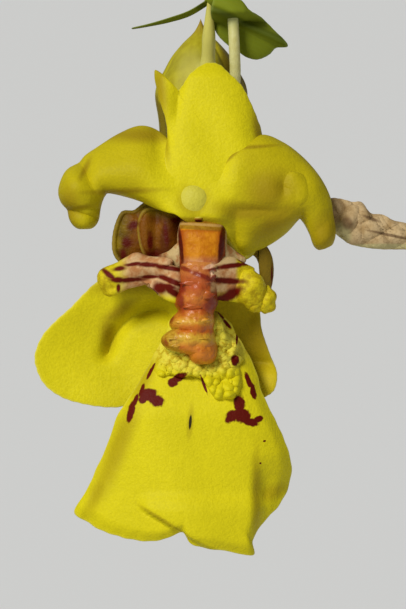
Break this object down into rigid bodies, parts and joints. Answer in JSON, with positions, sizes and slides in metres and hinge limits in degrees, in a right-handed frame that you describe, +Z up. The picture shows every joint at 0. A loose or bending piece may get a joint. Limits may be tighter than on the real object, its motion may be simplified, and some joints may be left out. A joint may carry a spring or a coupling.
{
  "type": "potted orchid plant",
  "caption": "Potted braided orchid: flattened leafy stems in a clay pot of bark, with yellow blooms that hang on thin stalks and have a warty red and orange lip crest.",
  "frame": {"origin": "centre of the pot's base, on the surface that it stands on", "axes": "+Z up; -Y is the side that the main bloom faces, and +X is where its stem arches to"},
  "size_m": [0.1771, 0.1483, 0.2359],
  "materials": {
    "terracotta": "matt unglazed clay",
    "bark": "rough chips",
    "rhizome": "dry fibrous skin",
    "leaf": "smooth, slightly glossy",
    "pedicel": "smooth, pale",
    "petal": "satin, finely grained",
    "callus": "glossy",
    "column": "satin, with dark red marks",
    "dry_petal": "papery, wrinkled"
  },
  "bodies": {
    "root": {"pot": "terracotta", "potting_bark": "bark", "rhizome_and_roots": "rhizome", "leafy_stem_1": "leaf", "leafy_stem_2": "leaf", "leafy_stem_3": "leaf", "leafy_stem_4": "leaf", "leafy_stem_5": "leaf", "leafy_stem_6": "leaf", "leafy_stem_7": "leaf", "leafy_stem_8": "leaf", "bloom_column": "column", "bloom_callus": "callus", "bloom_lip": "petal", "bloom_petal_left": "petal", "bloom_petal_right": "petal", "bloom_dorsal_sepal": "petal", "bloom_lateral_sepal_left": "petal", "bloom_lateral_sepal_right": "petal", "bloom_pedicel": "pedicel", "closing_bloom": "petal", "withered_bloom": "dry_petal", "bloom_2": "petal", "bloom_2_column": "column", "bloom_3": "petal", "bloom_3_column": "column", "bloom_4": "petal", "bloom_4_column": "column"}
  },
  "joints": []
}
